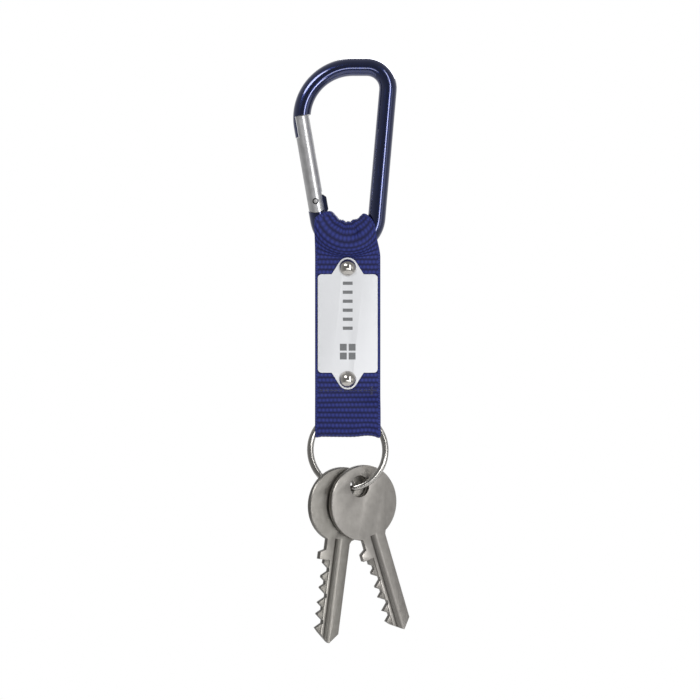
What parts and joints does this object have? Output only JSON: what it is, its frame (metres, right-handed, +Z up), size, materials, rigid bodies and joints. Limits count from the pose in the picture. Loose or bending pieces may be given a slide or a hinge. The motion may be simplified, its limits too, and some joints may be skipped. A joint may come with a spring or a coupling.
{
  "type": "carabiner keyring",
  "caption": "Accessory carabiner with a sprung gate, a folded webbing strap with a riveted label plate, and a split ring that holds cylinder keys.",
  "frame": {"origin": "inner crown of the carabiner, where the keyring hangs", "axes": "+Z up along the hanging keyring, +X to the right as seen from the label plate, the label plate faces -Y"},
  "size_m": [0.0359, 0.0158, 0.1787],
  "materials": {
    "anodised_blue": "blue anodised, glossy",
    "gate_aluminium": "natural anodised, satin",
    "pin_steel": "bright",
    "spring_steel": "drawn wire",
    "plunger_brass": "turned",
    "webbing": "woven polyester, matt",
    "thread": "sewing thread",
    "plate_satin": "satin, printed mark",
    "rivet_nickel": "polished nickel",
    "ring_steel": "nickel plated wire",
    "key_nickel": "worn nickel plate on brass"
  },
  "bodies": {
    "carabiner": {"carabiner_body": "anodised_blue", "gate_pivot_pin": "pin_steel", "webbing_top_loop": "webbing"},
    "gate": {"gate_arm": "gate_aluminium", "gate_spring": "spring_steel"},
    "plunger": {"gate_plunger": "plunger_brass"},
    "strap": {"webbing_front_ply": "webbing", "webbing_back_ply": "webbing", "webbing_back_tail": "webbing", "webbing_stitching": "thread", "label_plate": "plate_satin", "upper_rivet_cap": "rivet_nickel", "upper_rivet_post": "rivet_nickel", "lower_rivet_cap": "rivet_nickel", "lower_rivet_post": "rivet_nickel"},
    "ring_loop": {"webbing_ring_loop": "webbing"},
    "ring": {"split_ring": "ring_steel"},
    "front_key": {"front_key": "key_nickel"},
    "rear_key": {"rear_key": "key_nickel"}
  },
  "joints": [
    {"name": "gate_pivot", "type": "hinge", "parent": "carabiner", "child": "gate", "pos_m": [-0.01257, 0, -0.03852], "axis": [0, 1, 0], "range_deg": [0, 38], "stiffness_Nm_per_rad": 0.02, "springref_deg": -57.3},
    {"name": "plunger_slide", "type": "slide", "parent": "gate", "child": "plunger", "axis": [-0.1719, 0, 0.9851], "range_m": [0, 0.00125], "deforming": ["gate_spring"]},
    {"name": "strap_swing", "type": "hinge", "parent": "carabiner", "child": "strap", "pos_m": [-0.00275, 0, -0.0519], "axis": [1, 0, 0], "range_deg": [-45, 45]},
    {"name": "strap_flex", "type": "hinge", "parent": "strap", "child": "ring_loop", "pos_m": [-0.00275, 0, -0.0979], "axis": [1, 0, 0], "range_deg": [-50, 50]},
    {"name": "ring_turn", "type": "hinge", "parent": "ring_loop", "child": "ring", "pos_m": [-0.00275, 0, -0.1146], "axis": [0.2079, 0.9781, 0], "range_deg": [-30, 30]},
    {"name": "front_key_fan", "type": "hinge", "parent": "ring", "child": "front_key", "pos_m": [0.00044, -0.00068, -0.12563], "axis": [-0.5, 0.866, 0], "range_deg": [-40, 75]},
    {"name": "rear_key_fan", "type": "hinge", "parent": "ring", "child": "rear_key", "pos_m": [-0.00383, 0.00023, -0.12605], "axis": [-0.5, 0.866, 0], "range_deg": [-65, 50]}
  ],
  "couplings": [
    {"joint": "plunger_slide", "follows": "gate_pivot", "m_per_rad": 0.00188}
  ]
}
